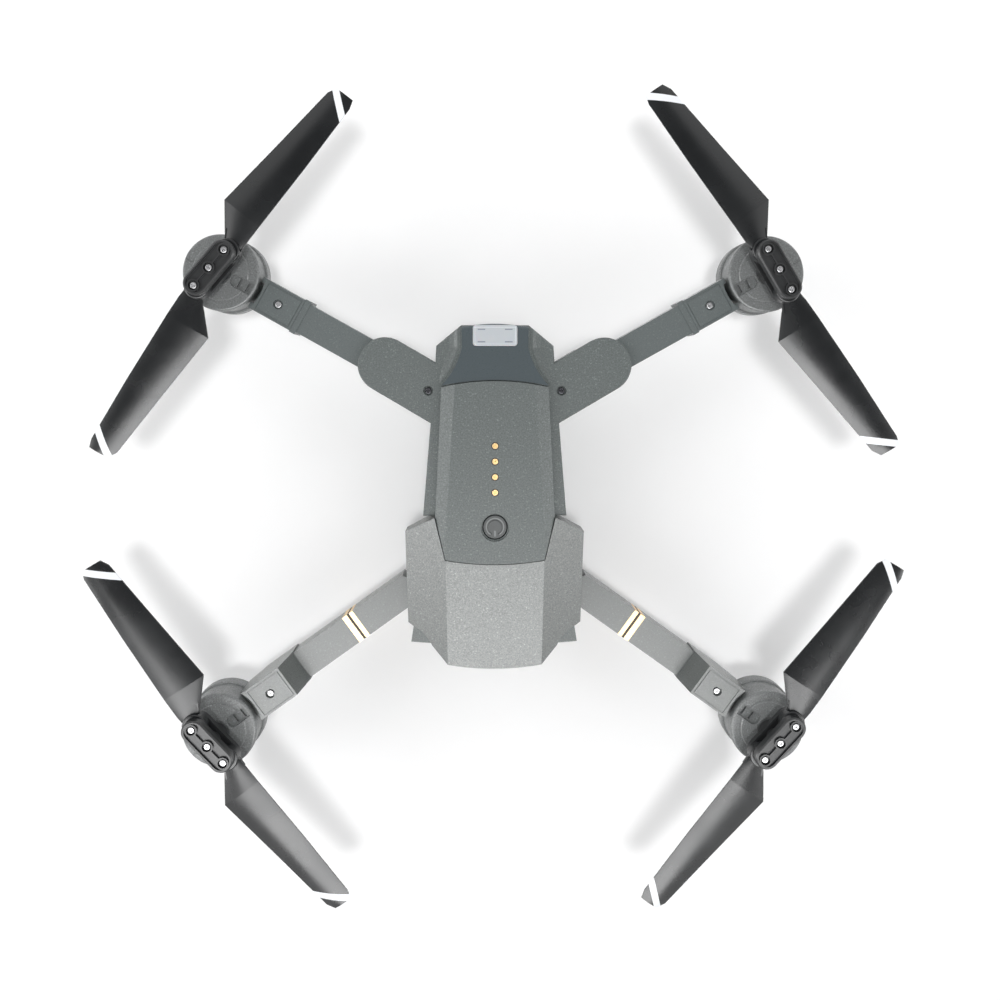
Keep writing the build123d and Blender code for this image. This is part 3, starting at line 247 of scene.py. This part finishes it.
# painted shade: the shoulder screws get a dark steel that stands in for the shade of the holes they sit in
dark_steel = metal("dark_steel", (0.10, 0.10, 0.11), rough=0.3)
for part in frame["record"]["subparts"]:
    node = frame["nodes"][part["node"]]
    node.data.materials.clear()
    node.data.materials.append(MATERIALS[part["material_slot"]])
for name, material in (("rear_left_arm", rear_arm), ("rear_right_arm", rear_arm), ("shoulder_screws", dark_steel)):
    frame["nodes"][name].data.materials[0] = material


# ---------------------------------------------------------------- softened edges of the moulded pieces
def soften(name, width, angle=25):
    """Round the sharp edges of a CAD node by a real bevel."""
    node = frame["nodes"][name]
    weld = node.modifiers.new("weld", "WELD")
    weld.merge_threshold = 0.000002
    flat = node.modifiers.new("flat", "DECIMATE")
    flat.decimate_type = "DISSOLVE"
    flat.angle_limit = math.radians(1.0)
    bevel = node.modifiers.new("bevel", "BEVEL")
    bevel.width = width
    bevel.segments = 2
    bevel.limit_method = "ANGLE"
    bevel.angle_limit = math.radians(angle)
    bevel.harden_normals = True


soften("nose_cover", 0.35 * MM)
soften("battery_hood", 0.25 * MM)


# ---------------------------------------------------------------- painted bands
def band(name, node, planes, material, lift=0.02 * MM):
    """A coat of paint on part of a node: its surface between planes (point, outward normal), lifted a little."""
    work = bmesh.new()
    work.from_mesh(frame["nodes"][node].data)
    bmesh.ops.remove_doubles(work, verts=work.verts, dist=0.001 * MM)
    for point, normal in planes:
        geometry = work.verts[:] + work.edges[:] + work.faces[:]
        bmesh.ops.bisect_plane(work, geom=geometry, plane_co=point, plane_no=normal, clear_outer=True)
    work.normal_update()
    for vertex in work.verts:
        vertex.co += vertex.normal * lift
    mesh = bpy.data.meshes.new(name)
    work.to_mesh(mesh)
    work.free()
    mesh.shade_smooth()
    mesh.set_sharp_from_angle(angle=math.radians(30))
    return new_object(name, mesh, material, body_of(frame["nodes"][node])[0])


STRIPE_W = 2.3 * MM
STRIPE_REACH = 61.4 * MM         # from a blade's pivot to the middle of its stripe
STRIPE_SLANT = math.radians(40)
for corner in CORNERS:
    for blade in "ab":
        node = corner + "_blade_" + blade
        pivot = Vector(joint(node + "_fold")["pos_m"])
        points = [vertex.co - pivot for vertex in frame["nodes"][node].data.vertices]
        out = max(points, key=lambda p: p.xy.length).xy.normalized()
        tips = [p.xy for p in points if p.xy.dot(out) > max(q.xy.dot(out) for q in points) - 0.4 * MM]
        out = (sum(tips, Vector((0.0, 0.0))) / len(tips)).normalized()
        across = Vector((-out.y, out.x))
        normal = (out * math.cos(STRIPE_SLANT) - across * math.sin(STRIPE_SLANT)).to_3d()
        centre = pivot + (out * STRIPE_REACH).to_3d()
        band(node + "_stripe", node, [(centre + normal * STRIPE_W / 2, normal),
                                      (centre - normal * STRIPE_W / 2, -normal)], white_paint)

GOLD_FROM_HINGE = 27.4 * MM      # along a rear arm from its hinge to the middle of the pair of bands
GOLD_BANDS = ((0.4 * MM, 2.4 * MM), (-2.2 * MM, -0.6 * MM))
for side in ("left", "right"):
    node = "rear_" + side + "_arm"
    hinge = Vector(joint(node + "_fold")["pos_m"])
    shaft = Vector(joint("rear_" + side + "_prop_spin")["pos_m"])
    along = (shaft - hinge).xy.normalized().to_3d()
    for number, (near, far) in enumerate(GOLD_BANDS):
        start, stop = (hinge + along * (GOLD_FROM_HINGE + reach) for reach in (near, far))
        band(node + "_gold_%d" % number, node, [(stop, along), (start, -along)], gold_paint)
    back, front = (hinge + along * (GOLD_FROM_HINGE + reach) for reach in (-0.6 * MM, 0.4 * MM))
    # painted shade in the strip between the two gold bands
    band(node + "_gap", node, [(front, along), (back, -along)], dark_recess, 0.01 * MM)


# ---------------------------------------------------------------- thin discs, rings and bars laid on a face
def slab(name, loops, base, thick, material, node):
    """Thin raised shapes with upright walls. Each loop is a list of (x, y) round one solid outline."""
    work = bmesh.new()
    for loop in loops:
        lower = [work.verts.new((x, y, base)) for x, y in loop]
        upper = [work.verts.new((x, y, base + thick)) for x, y in loop]
        work.faces.new(upper)
        work.faces.new(list(reversed(lower)))
        for i in range(len(loop)):
            j = (i + 1) % len(loop)
            work.faces.new((lower[i], lower[j], upper[j], upper[i]))
    bmesh.ops.recalc_face_normals(work, faces=work.faces)
    mesh = bpy.data.meshes.new(name)
    work.to_mesh(mesh)
    work.free()
    return new_object(name, mesh, material, body_of(frame["nodes"][node])[0])


def arc_pieces(x, y, inner, outer, start=0.0, sweep=360.0, steps=40):
    """A ring sector as quads round (x, y), angles in degrees."""
    pieces = []
    for i in range(steps):
        a, b = (math.radians(start + sweep * k / steps) for k in (i, i + 1))
        pieces.append([(x + r * math.cos(t), y + r * math.sin(t))
                       for r, t in ((inner, a), (outer, a), (outer, b), (inner, b))])
    return pieces


def disc(x, y, radius, steps=32):
    """A round outline."""
    return [[(x + radius * math.cos(math.tau * k / steps), y + radius * math.sin(math.tau * k / steps))
             for k in range(steps)]]


def bar(x, y, half_x, half_y):
    """A rectangular outline."""
    return [[(x - half_x, y - half_y), (x + half_x, y - half_y), (x + half_x, y + half_y), (x - half_x, y + half_y)]]


pins_low, pins_high = (Vector(corner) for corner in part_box("lamp_pins"))
PIN_R = (pins_high.x - pins_low.x) / 2
cover_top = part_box("top_cover")[1][2]
for number in range(4):
    lamp_y = pins_low.y + PIN_R + number * (pins_high.y - pins_low.y - 2 * PIN_R) / 3
    # a painted shade ring round each lamp, standing in for the shadowed gap round it, with a gold collar inside it
    slab("lamp_ring_%d" % number, arc_pieces(0.0, lamp_y, 0.98 * MM, 1.35 * MM, steps=32), cover_top, 0.02 * MM,
         dark_recess, "top_cover")
    slab("lamp_collar_%d" % number, arc_pieces(0.0, lamp_y, 0.40 * MM, 0.98 * MM, steps=32), cover_top, 0.04 * MM,
         gold_paint, "top_cover")

button = middle("power_button")
button_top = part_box("power_button")[1][2]
slab("button_arc", arc_pieces(button.x, button.y, 2.75 * MM, 3.2 * MM, -60, 300, 50), button_top, 0.03 * MM,
     icon_grey, "power_button")
slab("button_bar", bar(button.x, button.y - 2.3 * MM, 0.32 * MM, 1.0 * MM), button_top, 0.03 * MM, icon_grey,
     "power_button")

# bright rim and four small louvres on the lamp window
pane_low, pane_high = (Vector(corner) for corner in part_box("nose_light_window"))
RIM = 0.55 * MM
mid_x, mid_y = (pane_low.x + pane_high.x) / 2, (pane_low.y + pane_high.y) / 2
half_x, half_y = (pane_high.x - pane_low.x) / 2, (pane_high.y - pane_low.y) / 2
LOUVRE = (1.3 * MM, 0.2 * MM)
louvres = []
for sign_x in (-1, 1):
    for sign_y in (-1, 1):
        louvres += bar(mid_x + sign_x * (half_x - 3.0 * MM), mid_y + sign_y * (half_y - 1.5 * MM), *LOUVRE)


def drape(piece, node, lift):
    """Drop a flat piece's points straight down onto a node's surface, a little above it."""
    surface = frame["nodes"][node]
    low = min(vertex.co.z for vertex in piece.data.vertices)
    for vertex in piece.data.vertices:
        hit, place, _, _ = surface.ray_cast((vertex.co.x, vertex.co.y, 0.2), (0.0, 0.0, -1.0))
        if hit:
            vertex.co.z = place.z + lift + (vertex.co.z - low)


rim_bars = (bar(mid_x, pane_high.y - RIM, half_x - RIM, RIM / 2) + bar(mid_x, pane_low.y + RIM, half_x - RIM, RIM / 2)
            + bar(pane_low.x + RIM, mid_y, RIM / 2, half_y - RIM) + bar(pane_high.x - RIM, mid_y, RIM / 2, half_y - RIM))
rim = slab("window_rim", rim_bars, pane_high.z, 0.03 * MM, white_paint, "nose_light_window")
drape(rim, "nose_light_window", -0.01 * MM)
dashes = slab("window_louvres", louvres, pane_high.z, 0.03 * MM, mark_grey, "nose_light_window")
drape(dashes, "nose_light_window", -0.01 * MM)


# ---------------------------------------------------------------- floor, light and camera
def light(name, place, size, power, aim=(0.0, 0.0, 0.0)):
    """A soft light of that width and height aimed at a point."""
    lamp = bpy.data.lights.new(name, "AREA")
    lamp.shape = "RECTANGLE"
    lamp.size, lamp.size_y = size
    lamp.energy = power
    holder = bpy.data.objects.new(name, lamp)
    holder.location = place
    holder.rotation_euler = (Vector(place) - Vector(aim)).to_track_quat("Z", "Y").to_euler()
    bpy.context.scene.collection.objects.link(holder)
    return holder


FLOOR_HALF = 3.0
floor_mesh = bpy.data.meshes.new("floor")
floor_mesh.from_pydata([(x, y, 0.0) for x, y in ((-FLOOR_HALF, -FLOOR_HALF), (FLOOR_HALF, -FLOOR_HALF),
                                                 (FLOOR_HALF, FLOOR_HALF), (-FLOOR_HALF, FLOOR_HALF))],
                       [], [(0, 1, 2, 3)])
floor_mesh.materials.append(satin("floor_white", (0.92, 0.92, 0.922), rough=0.9, specular=0.1, variation=0.005))
floor = bpy.data.objects.new("floor", floor_mesh)
bpy.context.scene.collection.objects.link(floor)

world = bpy.data.worlds.new("studio")
world.use_nodes = True
sky = world.node_tree
sky.nodes["Background"].inputs["Color"].default_value = (1.0, 1.0, 1.0, 1.0)
heading = sky.nodes.new("ShaderNodeTexCoord").outputs["Generated"]
split = sky.nodes.new("ShaderNodeSeparateXYZ")
sky.links.new(heading, split.inputs["Vector"])
sky.links.new(spread(sky, split.outputs["Z"], 0.72, 0.86, 1.2, 0.2), sky.nodes["Background"].inputs["Strength"])
bpy.context.scene.world = world
sheen = light("rear_softbox", (-0.05, -0.66, 1.02), (1.05, 0.75), 23.0)
sheen.visible_diffuse = False    # a polished highlight only, so that the floor keeps its own soft shadows
light("overhead", (0.0, 0.04, 1.3), (0.2, 0.2), 6.0).visible_glossy = False
light("fill", (-1.1, 0.2, 0.7), (0.5, 0.5), 2.0)
for side_place, power in (((-1.05, -0.25, 0.6), 9.0), ((1.05, -0.25, 0.6), 6.0)):
    light("side_softbox", side_place, (0.55, 0.55), power).visible_diffuse = False

bpy.context.scene.view_settings.view_transform = "Standard"

CAMERA_PLACE = (-5.1 * MM, 43.2 * MM, 354.0 * MM)
CAMERA_PITCH = math.radians(2.98)
CAMERA_ROLL = math.radians(0.95)
SENSOR = 36.0
FOCAL_SHARE = 0.907              # focal length as a share of the picture's width
camera_data = bpy.data.cameras.new("camera")
camera_data.sensor_width = SENSOR
camera_data.lens = SENSOR * FOCAL_SHARE
camera_data.shift_x = 0.0048
camera_data.shift_y = -0.0746
camera = bpy.data.objects.new("camera", camera_data)
turn = Matrix.Rotation(-CAMERA_PITCH, 4, "X") @ Matrix.Rotation(-CAMERA_ROLL, 4, "Y")
camera.matrix_world = Matrix.Translation(CAMERA_PLACE) @ turn
bpy.context.scene.collection.objects.link(camera)
bpy.context.scene.camera = camera
